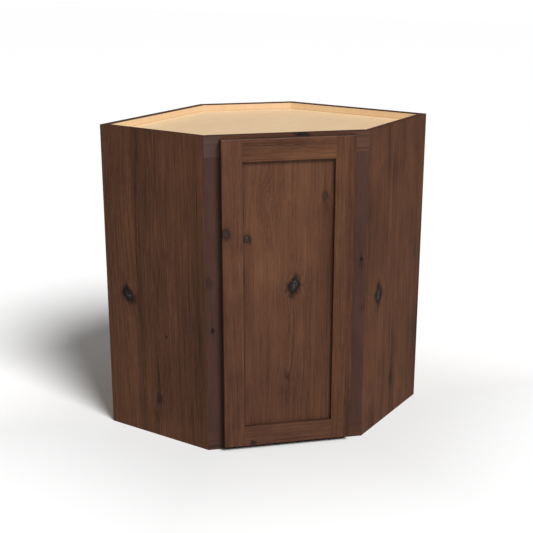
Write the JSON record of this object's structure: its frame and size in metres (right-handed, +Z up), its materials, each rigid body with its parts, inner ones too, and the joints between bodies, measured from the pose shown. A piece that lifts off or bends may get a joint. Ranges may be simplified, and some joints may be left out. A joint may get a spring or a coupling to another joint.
{
  "type": "corner wall cabinet",
  "caption": "Corner wall cabinet with a clipped back corner, stained knotty wood, one recessed-panel door across the corner on concealed hinges, and loose shelves inside.",
  "frame": {"origin": "on the underside, in the middle of the square that the two wall legs span", "axes": "+Z up; -X is out of the wall face on the left as seen from the door, +Y out of the wall face on the right; the door looks between +X and -Y"},
  "size_m": [0.6096, 0.6096, 0.8128],
  "materials": {
    "stained_wood": "satin",
    "natural_wood": "satin",
    "nickelled_steel": "satin",
    "rubber": "matt",
    "bumper": "satin"
  },
  "bodies": {
    "cabinet": {"left_side_panel": "stained_wood", "right_side_panel": "stained_wood", "frame_left_stile": "stained_wood", "frame_right_stile": "stained_wood", "frame_top_rail": "stained_wood", "frame_bottom_rail": "stained_wood", "left_back_panel": "natural_wood", "right_back_panel": "natural_wood", "corner_back_panel": "natural_wood", "top_panel": "natural_wood", "bottom_panel": "natural_wood", "left_upper_hanging_rail": "natural_wood", "right_upper_hanging_rail": "natural_wood", "left_lower_hanging_rail": "natural_wood", "right_lower_hanging_rail": "natural_wood", "lower_shelf": "natural_wood", "upper_shelf": "natural_wood", "upper_hinge_arm": "nickelled_steel", "lower_hinge_arm": "nickelled_steel", "hinge_arm_screws": "nickelled_steel", "shelf_pins": "nickelled_steel"},
    "door": {"door_left_stile": "stained_wood", "door_right_stile": "stained_wood", "door_top_rail": "stained_wood", "door_bottom_rail": "stained_wood", "door_panel": "stained_wood", "panel_spacers": "rubber", "door_bumpers": "bumper", "upper_hinge_cup": "nickelled_steel", "lower_hinge_cup": "nickelled_steel", "hinge_pins": "nickelled_steel", "hinge_cup_screws": "nickelled_steel"}
  },
  "joints": [
    {"name": "door_hinge", "type": "hinge", "parent": "cabinet", "child": "door", "pos_m": [0.28069, -0.05742, 0.408], "axis": [0, 0, 1], "range_deg": [0, 105]}
  ]
}
